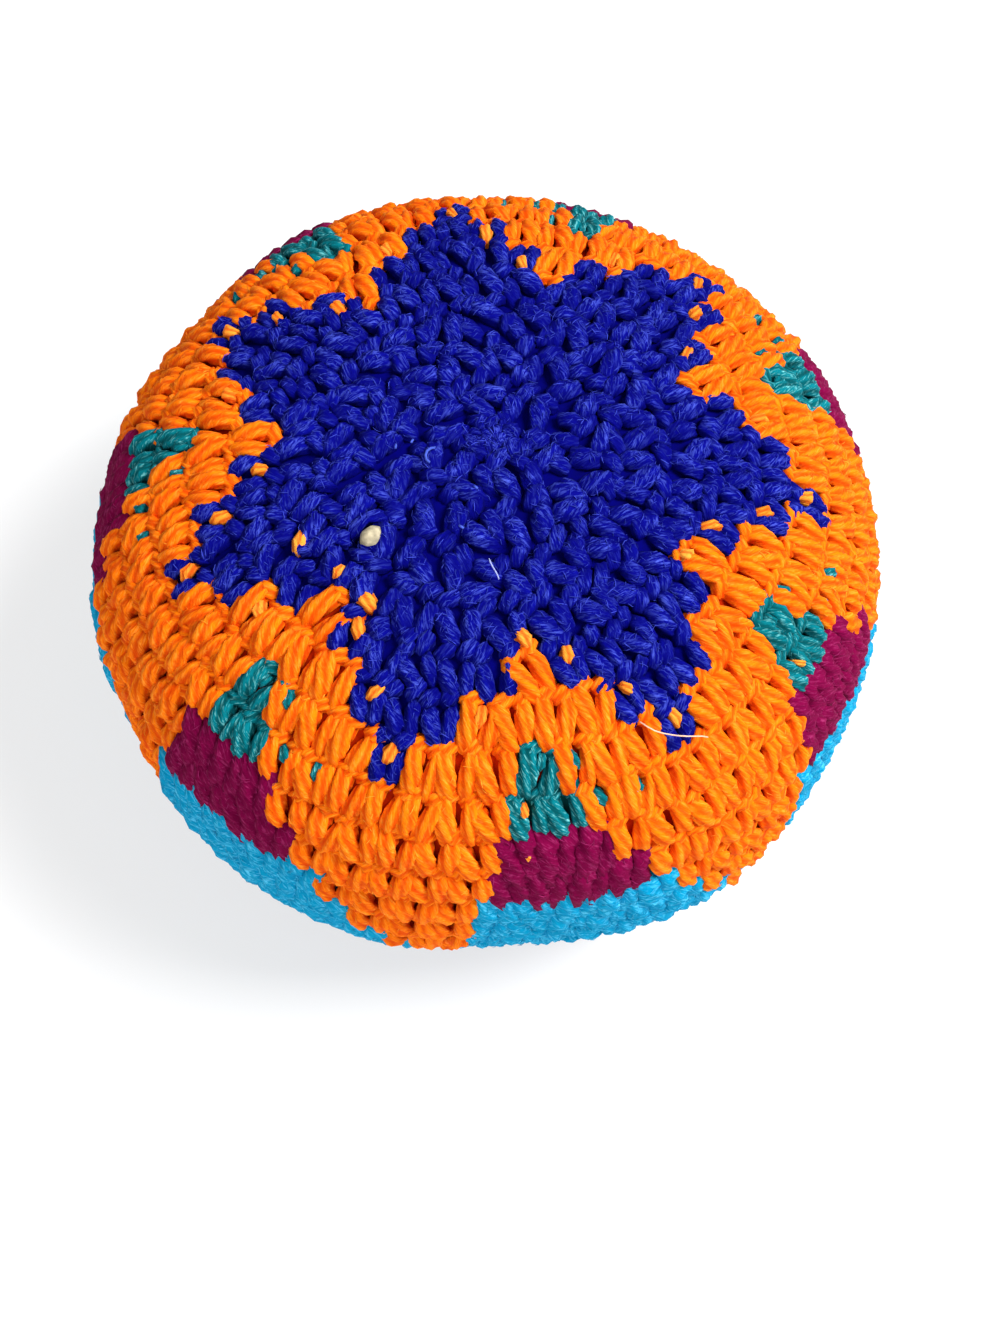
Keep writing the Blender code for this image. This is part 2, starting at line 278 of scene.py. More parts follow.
# Places of small details: sevenths clockwise from the notch, and the arc from the top. The arcs of the
# specks are in millimetres, and bright specks have their size too.
PELLET_GAP = (5.10, 10.95 * MM)
GAP_COLUMNS = 3  # of the lining, to each side of the pellet
GAP_SHARE = 0.4  # of the crown's pitch, to each side along the arc
BRIGHT_SPECKS = ((4.0, 14.7, 1.2), (4.84, 14.5, 1.2), (5.08, 14.1, 0.9), (5.33, 14.9, 1.25),
                 (3.03, 15.6, 1.0), (4.06, 26.9, 0.7), (3.04, 27.2, 0.7), (4.06, 30.5, 0.55))
BLUE_SPECKS = ((0.21, 18.0), (0.51, 22.2), (0.64, 18.9), (0.80, 16.0))
TEAL_SPECKS = ((-0.11, 23.1), (-0.30, 24.9), (-0.17, 26.4), (0.05, 21.9))
SPECK_WIDTHS = (0.52, 0.78)  # least and most, as shares of the speck's shape
SPECK_HEIGHTS = (0.48, 0.72)
SPECK_TONES = (0.5, 1.0)
SPECK_LEAN = 40.0  # degrees
SPECK_RISE = 0.25 * MM

# The photograph's camera, fitted to its outline and to the star's points
IMAGE_WIDTH = 1000
IMAGE_HEIGHT = 1333
FOCAL_PIXELS = 1913.92
SENSOR = 36.0  # millimetres, on the long side
CAMERA_RISE = 1.15439  # radians above the floor
CAMERA_ROLL = -0.06182
CAMERA_AWAY = 4.9948  # of waist radii
CAMERA_ASIDE = -0.00701
CAMERA_UP = -0.04511
CAMERA_CLIP = 0.01

# Floor and light: a lamp has its place, its size and its power
FLOOR_RADIUS = 0.6
FLOOR_SEGMENTS = 64
FLOOR_WHITE = 0.62  # how much of the floor near the bag is plain white
FADE_START = 0.12  # distance from the bag's middle where the floor starts to whiten
FADE_LENGTH = 0.20
WHITE = (1.0, 1.0, 1.0, 1.0)
SOFT_LIGHT = 0.38
KEY_LAMP = ((0.28, 0.02, 0.44), 0.20, 4.2)
FILL_LAMP = ((-0.10, -0.42, 0.36), 0.40, 1.4)


def both_ways(operation):
    """The methods of an operator on wires and of its reflected form."""
    def plain(wire, other):
        return wire.graph.maths(operation, wire, other)

    def reflected(wire, other):
        return wire.graph.maths(operation, other, wire)
    return plain, reflected


class Wire:
    """A node's output that can stand in a sum: an expression on wires adds its Math nodes."""

    __add__, __radd__ = both_ways("ADD")
    __sub__, __rsub__ = both_ways("SUBTRACT")
    __mul__, __rmul__ = both_ways("MULTIPLY")

    def __init__(self, graph, socket):
        self.graph = graph
        self.socket = socket

    def output(self, name):
        """Another output of the same node."""
        return Wire(self.graph, self.socket.node.outputs[name])

    def __gt__(self, other):
        return self.graph.maths("GREATER_THAN", self, other)

    def clamped(self):
        return self.graph.node("ShaderNodeClamp", {}, {"Value": self})


class Graph:
    """A node tree being wired, for a material or for geometry."""

    def __init__(self, tree):
        self.tree = tree

    def node(self, kind, settings, inputs, output=0):
        """Adds a node: its settings first, then a value or a wire for each socket; gives one output."""
        node = self.tree.nodes.new(kind)
        for name, value in settings.items():
            setattr(node, name, value)
        for name, value in inputs.items():
            for item in value if isinstance(value, list) else [value]:
                if isinstance(item, Wire):
                    self.tree.links.new(item.socket, node.inputs[name])
                else:
                    node.inputs[name].default_value = item
        return Wire(self, node.outputs[output]) if node.outputs else None

    def maths(self, operation, first, second=0.0):
        return self.node("ShaderNodeMath", {"operation": operation}, {0: first, 1: second})

    def vector(self, operation, first, second=(0.0, 0.0, 0.0), output="Vector"):
        """Vector maths on two vectors, or on a vector and the number that it is scaled by."""
        other = "Scale" if operation == "SCALE" else 1
        return self.node("ShaderNodeVectorMath", {"operation": operation}, {0: first, other: second}, output)

    def mix(self, factor, first, second):
        """A colour between two colours."""
        return self.node("ShaderNodeMix", {"data_type": "RGBA"}, {0: factor, 6: first, 7: second}, 2)

    def noise(self, place, scale, detail, roughness=0.5):
        return self.node("ShaderNodeTexNoise", {}, {"Vector": place, "Scale": scale, "Detail": detail,
                                                    "Roughness": roughness})

    def attribute(self, name, output="Fac"):
        return self.node("ShaderNodeAttribute", {"attribute_name": name}, {}, output)

    def backdrop_rays(self):
        """1 for the rays that show the backdrop: straight to the camera, mirrored or through glass."""
        rays = self.node("ShaderNodeLightPath", {}, {}, "Is Camera Ray")
        return (rays + rays.output("Is Glossy Ray") + rays.output("Is Transmission Ray")).clamped()

    def rough_surface(self, colour, roughness, strength, depth, height):
        """Ends a material in a surface with little gloss and a bump of a strength and a depth."""
        bump = self.node("ShaderNodeBump", {}, {"Strength": strength, "Distance": depth, "Height": height})
        shader = self.node("ShaderNodeBsdfPrincipled", {}, {
            "Base Color": colour, "Roughness": roughness, "Specular IOR Level": GLOSS, "Normal": bump})
        self.node("ShaderNodeOutputMaterial", {}, {"Surface": shader})


def new_material(name):
    """A material with an empty node tree, and the graph that fills it."""
    material = bpy.data.materials.new(name)
    material.use_nodes = True
    material.node_tree.nodes.clear()
    return material, Graph(material.node_tree)


def linear(colour, level=1.0):
    """A colour for a socket, from sRGB values out of 255."""
    parts = [c / 255 for c in colour]
    shares = [((c + 0.055) / 1.055) ** 2.4 if c > 0.04045 else c / 12.92 for c in parts]
    return (*[min(1.0, share * level) for share in shares], 1.0)


# Surface of the bag

def superellipse(height, exponent):
    """Quarter section from the pole to the waist: radii, and heights over the waist."""
    turn = np.linspace(pi / 2, 0.0, SECTION_SAMPLES)
    radii = WAIST_RADIUS * np.cos(turn).clip(0.0) ** (2 / exponent)
    heights = height * np.sin(turn) ** (2 / exponent)
    return radii, heights


class Section:
    """The bag's half section, read by arc length from the top of the crown to the rest face's centre."""

    def __init__(self):
        crown_r, crown_h = superellipse(CROWN_HEIGHT, CROWN_EXPONENT)
        belly_r, belly_h = superellipse(BELLY_DEPTH, BELLY_EXPONENT)
        rest_share = REST_RADIUS / WAIST_RADIUS
        self.waist = BELLY_DEPTH * (1 - rest_share ** BELLY_EXPONENT) ** (1 / BELLY_EXPONENT)
        side = belly_r > REST_RADIUS
        side_r = np.append(belly_r[side][::-1], REST_RADIUS)
        side_z = np.append(self.waist - belly_h[side][::-1], 0.0)
        floor_r = np.linspace(REST_RADIUS, 0.0, SECTION_SAMPLES)
        self.radii = np.concatenate([crown_r, side_r[1:], floor_r[1:]])
        self.heights = np.concatenate([self.waist + crown_h, side_z[1:], 0 * floor_r[1:]])
        steps = np.hypot(np.diff(self.radii), np.diff(self.heights))
        self.arcs = np.concatenate([[0.0], np.cumsum(steps)])
        self.crown_arc = self.arcs[len(crown_r) - 1]
        self.side_arc = self.arcs[len(crown_r) + len(side_r) - 2]
        self.full_arc = self.arcs[-1]
        self.run_r = np.gradient(self.radii, self.arcs)
        self.run_z = np.gradient(self.heights, self.arcs)

    def slope(self, arc):
        """The section's direction at an arc length, as radius and height, of length 1."""
        run = np.array([np.interp(arc, self.arcs, self.run_r), np.interp(arc, self.arcs, self.run_z)])
        return run / np.linalg.norm(run)

    def point(self, arc, depth=0.0):
        """Radius and height at an arc length, at a depth under the surface."""
        run_r, run_z = self.slope(arc)
        radius = np.interp(arc, self.arcs, self.radii) + depth * run_z
        height = np.interp(arc, self.arcs, self.heights) - depth * run_r
        return max(float(radius), 0.0), float(height)


def azimuth(place):
    """Angle about +Z of a place counted in sevenths, clockwise from the notch that the chart starts at."""
    return radians(STAR_TURN) - place * 2 * pi / SEVENTHS


def surface_point(arc, place, depth=0.0):
    radius, height = section.point(arc, depth)
    angle = azimuth(place)
    return Vector((radius * cos(angle), radius * sin(angle), height))


def surface_axes(arc, place):
    """Directions at a place of the surface: clockwise, away from the top, and out of the fabric."""
    angle = azimuth(place)
    run_r, run_z = section.slope(arc)
    outwards = Vector((cos(angle), sin(angle), 0.0))
    upwards = Vector((0.0, 0.0, 1.0))
    clockwise = Vector((sin(angle), -cos(angle), 0.0))
    return clockwise, outwards * run_r + upwards * run_z, upwards * run_r - outwards * run_z


def unevenness(arc, place):
    """How far the settled bag stands out of its even form, or in, at a place of its surface."""
    fading = max(0.0, 1.0 - ((arc - section.crown_arc) / UNEVEN_REACH) ** 2)
    rise = 0.0
    for middle, spread, height in UNEVEN_PLACES:
        turn = (azimuth(place) - radians(middle) + pi) % (2 * pi) - pi
        rise += height * exp(-(turn / radians(spread)) ** 2)
    return rise * fading


def row_edges():
    """Arc lengths of the lines between rounds, from the top of the crown to the rest face's centre."""
    crown_pitch = section.crown_arc / (len(CROWN_ROWS) - 1 + FIRST_ROUND_SHARE)
    lines = [0.0]
    lines += [(count + FIRST_ROUND_SHARE) * crown_pitch for count in range(len(CROWN_ROWS))]
    side_pitch = (section.side_arc - section.crown_arc) / len(SIDE_ROWS)
    lines += [section.crown_arc + side_pitch * (count + 1) for count in range(len(SIDE_ROWS))]
    floor_pitch = (section.full_arc - section.side_arc) / len(FLOOR_ROWS)
    lines += [section.side_arc + floor_pitch * (count + 1) for count in range(len(FLOOR_ROWS))]
    return lines


section = Section()
edges = row_edges()
CROWN_PITCH = edges[2] - edges[1]


# The chart as single stitches

def node_of(colour, notch):
    """The CAD node of a run of colour by its notch."""
    whole = {"blue": "star_field", "orange": "orange_field", "ring": "turquoise_ring",
             "base": "base_field", "start": "starting_ring", "knot": "closing_knot"}
    words = {"teal": "teal_patch", "maroon": "maroon_band", "turquoise": "turquoise_band"}
    return whole.get(colour) or f"{words[colour]}_{notch + 1}"


def chart_stitches():
    """Every stitch: its node, its row, and its middle's place and width counted in sevenths."""
    stitches = []
    for row, (count, start, colours) in enumerate(ROWS):
        for colour, run in colours:
            first_notch = round(start + run / count / 2)
            for seventh in range(SEVENTHS):
                node = node_of(colour, (first_notch + seventh) % SEVENTHS)
                for step in range(run):
                    place = start + seventh + (step + 0.5) / count
                    stitches.append((node, row, place % SEVENTHS, 1 / count))
            start += run / count
    return stitches


def hole_arc(row):
    """Arc length of the holes at the open ends of a row's stitches."""
    return edges[row] + HOLE_SHARE * (edges[row + 1] - edges[row])


def nearest_hole(place, arc):
    """Place and arc length of the stitch hole that lies closest to a place on the bag."""
    def apart(stitch):
        _, row, middle, _ = stitch
        around = abs((middle - place + SEVENTHS / 2) % SEVENTHS - SEVENTHS / 2)
        return hypot(around * 2 * pi / SEVENTHS * section.point(arc)[0], hole_arc(row) - arc)
    _, row, middle, _ = min(chart_stitches(), key=apart)
    return middle, hole_arc(row)


# Yarn and its finishes

def yarn_finish(name, colour, shade, glint, glint_share, felt, painted_shade_depths, dashing, clumping):
    """Twisted cotton: plies with fibres along them, painted shade in the creases and with depth, and
    painted highlights where fibres catch light.

    Felted yarn shows less of its plies. The painted shade depths hold the depth under the bag's surface, in
    millimetres, where painted shade starts to darken the yarn, and the depth where it is darkest. The
    dashing holds how much of the yarn takes no painted highlight, from 0 to 1, and how crisply the rest
    does. The clumping is how far the yarn's tone and its painted highlights gather in clumps, with darker
    yarn between.
    """
    material, graph = new_material(name)
    strand = graph.attribute("strand", "Vector")
    parts = graph.node("ShaderNodeSeparateXYZ", {}, {"Vector": strand})
    near, far = painted_shade_depths
    dull_share, crispness = dashing
    # Painted shade: yarn darkens with its depth under the bag's surface
    tuck = ((graph.attribute("tuck") - near) * (1.0 / (far - near))).clamped()
    tone = graph.attribute("tone")
    turn = graph.maths("ARCTAN2", parts.output("Y"), parts) + parts.output("Z") * (FIBRE_TWIST * MM)
    groove = graph.maths("COSINE", turn * PLIES - PLY_CREST)
    ply = (groove * 0.5 + 0.5) * (1.0 - felt) + 0.75 * felt
    shift = graph.node("ShaderNodeCombineXYZ", {}, {"X": tone * 40.0, "Y": tone * 17.0, "Z": tone * 29.0})

    def drawn_noise(around, along, detail):
        """Noise stretched along the yarn, from its features for each radius and each millimetre."""
        moved = graph.vector("ADD", graph.vector("MULTIPLY", strand, (around, around, along)), shift)
        return graph.noise(moved, 1.0, detail, 0.72)

    fibres = drawn_noise(*FIBRE_NOISE)
    dashes = drawn_noise(*DASH_NOISE)
    place = graph.node("ShaderNodeTexCoord", {}, {}, "Object")
    lint, wash, clumps = (graph.noise(place, scale, detail) for scale, detail in (LINT, WASH, CLUMPS))
    clump = ((clumps - 0.40) * 5.0).clamped()
    streak = ((fibres - 0.34) * 3.2).clamped()
    # Painted shade in ply grooves and with depth, varied by fibre streaks, lint, wash, clumps and tone
    crest = (ply * 1.5).clamped()
    tone_and_painted_shade = (crest * 0.78 + 0.24) * (1.0 - tuck * PAINTED_DEPTH_SHADE) * (streak * 0.95 + 0.32)
    tone_and_painted_shade = tone_and_painted_shade * (wash * 0.6 + 0.75) * (lint * 0.8 + 0.64) + (tone.clamped() - 0.5) * 0.14
    tone_and_painted_shade = tone_and_painted_shade * (clump * clumping + (1.0 - 0.7 * clumping))
    # Painted highlight on specks: a tone over 1 mixes their colour towards the glint
    speck_highlit_colour = graph.mix((tone - 1.0).clamped() * 0.9, linear(colour), linear(glint))
    base = graph.mix(tone_and_painted_shade.clamped(), linear(shade), speck_highlit_colour)
    # Painted highlight: fibre dashes on the ply crests, fading with depth, mixed towards the glint colour
    spark = ((dashes - dull_share) * crispness).clamped() * (crest * 0.6 + 0.4) * (1.0 - tuck)
    spark = spark * (clump * clumping + (1.0 - clumping))
    caught = graph.mix((spark * glint_share).clamped(), base, linear(glint))
    graph.rough_surface(caught, 0.85, 0.7, YARN_BUMP, ply * 0.2 + fibres * 1.0 + lint * 0.5)
    return material


def plain_finish(name, colour, roughness, speckle=0.45, scale=900.0):
    """A rough finish with a fine uneven tone: the lining in the holes, the loose fibres, the pellets."""
    material, graph = new_material(name)
    grain = graph.noise(graph.node("ShaderNodeTexCoord", {}, {}, "Object"), scale, 3.0)
    base = graph.mix((grain * 2.0 - 0.5).clamped(), linear(colour, 1.0 - speckle), linear(colour))
    graph.rough_surface(base, roughness, 0.4, GRAIN_BUMP, grain)
    return material


# Small shapes that repeat

def put(name, data, collection=None):
    """A new object in a collection, or else in the scene's own."""
    item = bpy.data.objects.new(name, data)
    home = bpy.context.collection if collection is None else collection
    home.objects.link(item)
    return item


def made_mesh(name, form, closed=True):
    """The mesh of a finished shape, with the faces of a closed one turned outwards."""
    if closed:
        bmesh.ops.recalc_face_normals(form, faces=form.faces)
    mesh = bpy.data.meshes.new(name)
    form.to_mesh(mesh)
    form.free()
    return mesh


def ring(form, middle, radius, facing, sides):
    """Vertices round a middle, in the plane that a facing matrix turns X and Y into."""
    turns = (side * 2 * pi / sides for side in range(sides))
    return [form.verts.new(middle + radius * (facing @ Vector((cos(turn), sin(turn), 0.0))))
            for turn in turns]


def bridge(form, loops):
    """Joins rings of vertices into a closed tube and gives its faces."""
    faces = []
    for first, second in zip(loops, loops[1:]):
        for side, corner in enumerate(first):
            after = (side + 1) % len(first)
            faces.append(form.faces.new((corner, first[after], second[after], second[side])))
    return faces + [form.faces.new(loops[0][::-1]), form.faces.new(loops[-1])]


def tube_mesh(form, layers, rows):
    """Adds one closed arm of yarn from its rows of middle, across axis, rise axis and half thickness."""
    strand_layer, tuck_layer = layers
    loops = []
    travelled = 0.0
    for index, (middle, across, rise, half) in enumerate(rows):
        if index:
            travelled += (middle - rows[index - 1][0]).length
        loop = []
        for side in range(TUBE_SIDES):
            turn = side * 2 * pi / TUBE_SIDES
            reach = half * PLY_SIDES[side % len(PLY_SIDES)]
            angle = turn + PLY_TWIST * travelled
            place = middle + reach * (cos(angle) * across + ARM_FLATNESS * sin(angle) * rise)
            vert = form.verts.new(place)
            drawn = turn - FIBRE_TWIST * travelled
            vert[strand_layer] = Vector((cos(drawn), sin(drawn), travelled / MM))
            vert[tuck_layer] = max(0.0, -place.z / MM)
            loop.append(vert)
        loops.append(loop)
    bridge(form, loops)


def arm_rows(shares, draw, slack):
    """An arm's middle line with its axes, for a stitch in its own frame: X clockwise, Y away, Z out."""
    lean, push = draw.uniform(-slack, slack), draw.uniform(-slack, slack)
    places = []
    for along, across, out, half in shares:
        stray = draw.uniform(-slack, slack) / 2
        places.append((Vector(((across + lean * along * 2 + push) * STITCH_WIDTH,
                               along * CROWN_PITCH,
                               (out + stray) * STITCH_WIDTH - STITCH_SINK)),
                       half * STITCH_WIDTH * (1 + draw.uniform(-slack, slack))))
    rows = []
    for index, (middle, half) in enumerate(places):
        before, after = places[max(index - 1, 0)][0], places[min(index + 1, len(places) - 1)][0]
        forward = (after - before).normalized()
        across = forward.cross(Vector((0.0, 0.0, 1.0))).normalized()
        rows.append((middle, across, across.cross(forward), half))
    return rows


def stitch_template(name, parts, seed, slack, collection):
    """One kind of stitch as a small mesh that carries its strand and its tuck."""
    draw = random.Random(seed)
    form = bmesh.new()
    layers = (form.verts.layers.float_vector.new("strand"), form.verts.layers.float.new("tuck"))
    for shares in parts:
        tube_mesh(form, layers, arm_rows(shares, draw, slack))
    put(name, made_mesh(name, form), collection)


def fibre_template():
    """A thin fibre that leaves the yarn, arches over it and comes back to it."""
    form = bmesh.new()
    facing = Matrix(((0.0, 0.0, 1.0), (1.0, 0.0, 0.0), (0.0, 1.0, 0.0)))
    loops = []
    for step in range(FIBRE_STEPS + 1):
        share = step / FIBRE_STEPS
        middle = Vector(((share - 0.5) * FIBRE_LENGTH,
                         FIBRE_LENGTH * FIBRE_SWAY * sin(share * FIBRE_SWAY_TURN),
                         FIBRE_RISE * (FIBRE_ARCH * share * (1 - share) - FIBRE_END_DEPTH)))
        half = FIBRE_RADIUS * (1.0 - abs(2 * share - 1) ** 2 * FIBRE_TAPER)
        loops.append(ring(form, middle, half, facing, FIBRE_SIDES))
    bridge(form, loops)
    return bpy.data.objects.new("fibre", made_mesh("fibre", form))


def thread_mesh(name, threads):
    """Loose threads that lie on the star, each a thin tube through its places, with its own material."""
    form = bmesh.new()
    for number, ((radius, places), _) in enumerate(threads):
        spots = [surface_point(arc * MM, place, -height * MM) for place, arc, height in places]
        spots = [spot for pair in zip(spots, spots[1:]) for spot in (pair[0], (pair[0] + pair[1]) / 2)]
        spots = [(a + b * 2 + c) / 4 for a, b, c in zip(spots, spots[1:], spots[2:])]
        loops = []
        for before, middle, after in zip(spots, spots[1:], spots[2:]):
            facing = (after - before).to_track_quat("Z", "Y").to_matrix()
            loops.append(ring(form, middle, radius, facing, THREAD_SIDES))
        for face in bridge(form, loops):
            face.material_index = number
            face.smooth = True
    mesh = made_mesh(name, form)
    for _, material in threads:
        mesh.materials.append(material)
    return bpy.data.objects.new(name, mesh)


def pellet_template(name, subdivisions, roughness, collection):
    """A cut plastic pellet, a little flat, with an uneven skin."""
    draw = random.Random(CHART_SEED)
    form = bmesh.new()
    bmesh.ops.create_icosphere(form, subdivisions=subdivisions, radius=PELLET_RADIUS)
    for vert in form.verts:
        vert.co *= 1 + draw.uniform(-1, 1) * roughness
        vert.co.z *= PELLET_FLATNESS
    put(name, made_mesh(name, form), collection)


# The tree that works the fabric and lays the fill

def crochet_tree():
    """Stitches on points, with the lining behind them and fibres over them.

    A point holds the stitch's directions, its size, its kind and its tone.
    """
    tree = bpy.data.node_groups.new("crochet", "GeometryNodeTree")
    tree.interface.new_socket(name="Geometry", in_out="OUTPUT", socket_type="NodeSocketGeometry")
    for kind, names in (("Geometry", ["Geometry"]), ("Collection", ["Stitches"]),
                        ("Object", ["Lining", "Fibre", "Threads"]), ("Material", ["Yarn", "Inside", "Fuzz"]),
                        ("Float", ["Waver", "Roughen", "Parting", "Fibre Density"])):
        for name in names:
            tree.interface.new_socket(name=name, in_out="INPUT", socket_type="NodeSocket" + kind)
    graph = Graph(tree)
    given = graph.node("NodeGroupInput", {}, {}).output

    def field(name, kind="FLOAT_VECTOR"):
        return graph.node("GeometryNodeInputNamedAttribute", {"data_type": kind}, {"Name": name})

    def moved(geometry, offset):
        return graph.node("GeometryNodeSetPosition", {}, {"Geometry": geometry, "Offset": offset})

    def shaken(geometry, scale, detail, seed, reach):
        """Geometry moved about by noise."""
        noise = graph.node("ShaderNodeTexNoise", {"noise_dimensions": "4D"},
                           {"Vector": place, "Scale": scale, "Detail": detail, "W": seed}, "Color")
        centred = graph.vector("SUBTRACT", noise, (0.5, 0.5, 0.5))
        return moved(geometry, graph.vector("SCALE", centred, reach))

    def finished(geometry, material):
        return graph.node("GeometryNodeSetMaterial", {}, {"Geometry": geometry, "Material": given(material)})

    def shape(name):
        return graph.node("GeometryNodeObjectInfo", {}, {"Object": given(name)}, "Geometry")

    out = field("out")
    facing = graph.node("FunctionNodeAxesToRotation", {"primary_axis": "Z", "secondary_axis": "Y"},
                        {"Primary Axis": out, "Secondary Axis": field("away")})
    kinds = graph.node("GeometryNodeCollectionInfo", {}, {
        "Collection": given("Stitches"), "Separate Children": True, "Reset Children": True})
    placed = graph.node("GeometryNodeInstanceOnPoints", {}, {
        "Points": given("Geometry"), "Instance": kinds, "Pick Instance": True,
        "Instance Index": field("kind", "INT"), "Rotation": facing, "Scale": field("size")})
    worked = graph.node("GeometryNodeRealizeInstances", {}, {"Geometry": placed})
    place = graph.node("GeometryNodeInputPosition", {}, {})
    wavered = shaken(worked, WAVER_SCALE, 1.5, 3.0, given("Waver"))
    uneven = shaken(wavered, ROUGH_SCALE, 1.0, 7.0, given("Roughen"))

    gap_place, gap_arc = PELLET_GAP
    from_hole = graph.vector("SUBTRACT", place, surface_point(gap_arc, gap_place))
    above = graph.vector("DOT_PRODUCT", from_hole, out, "Value")
    level = graph.vector("SUBTRACT", from_hole, graph.vector("SCALE", out, above))
    apart = graph.vector("LENGTH", level, output="Value")
    fading = graph.maths("EXPONENT", apart * apart * (-1.0 / PARTING_REACH ** 2))
    aside = graph.vector("SCALE", graph.vector("NORMALIZE", level), fading * given("Parting"))
    parted = moved(uneven, aside)
    smooth = graph.node("GeometryNodeSetShadeSmooth", {}, {"Geometry": parted, "Shade Smooth": True})
    yarn = finished(smooth, "Yarn")

    normal = graph.node("GeometryNodeInputNormal", {}, {})
    bare = (graph.vector("DOT_PRODUCT", normal, out, "Value") - field("tuck", "FLOAT")) > FIBRE_LIMIT
    spread = graph.node("GeometryNodeDistributePointsOnFaces", {}, {
        "Mesh": yarn, "Selection": bare, "Density": given("Fibre Density"), "Seed": CHART_SEED})
    spin = graph.node("FunctionNodeRandomValue", {"data_type": "FLOAT_VECTOR"}, {
        0: (-FIBRE_TILT, -FIBRE_TILT, 0.0), 1: (FIBRE_TILT, FIBRE_TILT, 2 * pi), "Seed": CHART_SEED})
    turned = graph.node("FunctionNodeRotateRotation", {"rotation_space": "LOCAL"}, {
        "Rotation": spread.output("Rotation"),
        "Rotate By": graph.node("FunctionNodeEulerToRotation", {}, {"Euler": spin})})
    shortest, longest = FIBRE_SIZES
    length = graph.node("FunctionNodeRandomValue", {"data_type": "FLOAT"},
                        {2: shortest, 3: longest, "Seed": CHART_SEED}, 1)
    fibres = graph.node("GeometryNodeInstanceOnPoints", {}, {
        "Points": spread, "Instance": shape("Fibre"), "Rotation": turned, "Scale": length})
    fuzz = finished(graph.node("GeometryNodeRealizeInstances", {}, {"Geometry": fibres}), "Fuzz")
    inside = finished(shape("Lining"), "Inside")
    whole = graph.node("GeometryNodeJoinGeometry", {}, {"Geometry": [shape("Threads"), inside, fuzz, yarn]})
    graph.node("NodeGroupOutput", {}, {"Geometry": whole})
    return tree


def grown(name, carrier_mesh, inputs):
    """The plain mesh that the crochet tree makes of a carrier, as a new object at the origin."""
    carrier = put(name + "_carrier", carrier_mesh)
    modifier = carrier.modifiers.new("grow", "NODES")
    modifier.node_group = crochet
    identifiers = {item.name: item.identifier for item in crochet.interface.items_tree
                   if item.in_out == "INPUT"}
    for label, value in inputs.items():
        modifier[identifiers[label]] = value
    depsgraph = bpy.context.evaluated_depsgraph_get()
    mesh = bpy.data.meshes.new_from_object(carrier.evaluated_get(depsgraph),
                                           preserve_all_data_layers=True, depsgraph=depsgraph)
    bpy.data.objects.remove(carrier)
    for attribute in [item.name for item in mesh.attributes if item.name in ("out", "away", "size", "kind")]:
        mesh.attributes.remove(mesh.attributes[attribute])
    mesh.name = name
    return put(name, mesh)


# Stitches and lining of a patch

def point_cloud(name, points):
    """Loose points that carry what the stitch tree reads."""
    mesh = bpy.data.meshes.new(name)
    mesh.from_pydata([point["place"] for point in points], [], [])
    for key, kind, field in (("out", "FLOAT_VECTOR", "vector"), ("away", "FLOAT_VECTOR", "vector"),
                             ("size", "FLOAT_VECTOR", "vector"), ("kind", "INT", "value"),
                             ("tone", "FLOAT", "value")):
        layer = mesh.attributes.new(key, kind, "POINT")
        for item, point in zip(layer.data, points):
            setattr(item, field, point[key])
    return mesh


def stitch_point(draw, arc, place, size, kind, depth=0.0, lean=0.0, unrest=1.0):
    """A point for one stitch or speck, with its directions turned by a lean in degrees."""
    clockwise, away, out = surface_axes(arc, place)
    turned = Matrix.Rotation(radians(lean), 3, out) @ away
    aside, along = (draw.uniform(-1, 1) * STITCH_STRAY * unrest for _ in range(2))
    middle = surface_point(arc, place, depth - unevenness(arc, place)) + clockwise * aside + turned * along
    return {"place": middle, "out": out, "away": turned, "size": Vector(size), "kind": kind,
            "tone": draw.random()}


def patch_points(node, way, unrest, draw):
    """A point for every stitch of a patch."""
    points = []
    for name, row, place, width in stitches_of_chart:
        if name != node:
            continue
        arc = (edges[row] + edges[row + 1]) / 2
        span = width * 2 * pi / SEVENTHS * section.point(arc)[0]
        pitch = edges[row + 1] - edges[row]
        swell = 1 + draw.uniform(-1, 1) * STITCH_SWELL_SHARE
        size = (max(span / STITCH_WIDTH, LEAST_WIDTH_SHARE),
                pitch / CROWN_PITCH * (1 + draw.uniform(*STITCH_GROWTH)), swell)
        kind = draw.randrange(STITCH_KINDS) + way * STITCH_KINDS
        whorl = WHORL_LEAN * max(0.0, 1.0 - row / WHORL_ROWS)
        lean = whorl + draw.gauss(0, 1) * (STITCH_LEAN * unrest + whorl / 2)
        sink = REST_SINK if arc > section.side_arc else 0.0
        points.append(stitch_point(draw, arc, place, size, kind, sink, lean, unrest))
    return points


def gap_cells():
    """The cells of the star's lining that are left out, so that a pellet shows."""
    place, arc = PELLET_GAP
    middle = int(place * LINING_COLUMNS)
    middles = [edges[line // LINING_STEPS] + (line % LINING_STEPS + 0.5) / LINING_STEPS * CROWN_PITCH
               for line in range(len(ROWS) * LINING_STEPS)]
    return {(line, column) for line, cell_arc in enumerate(middles)
            if abs(cell_arc - arc) < CROWN_PITCH * GAP_SHARE
            for column in range(middle - GAP_COLUMNS, middle + GAP_COLUMNS + 1)}


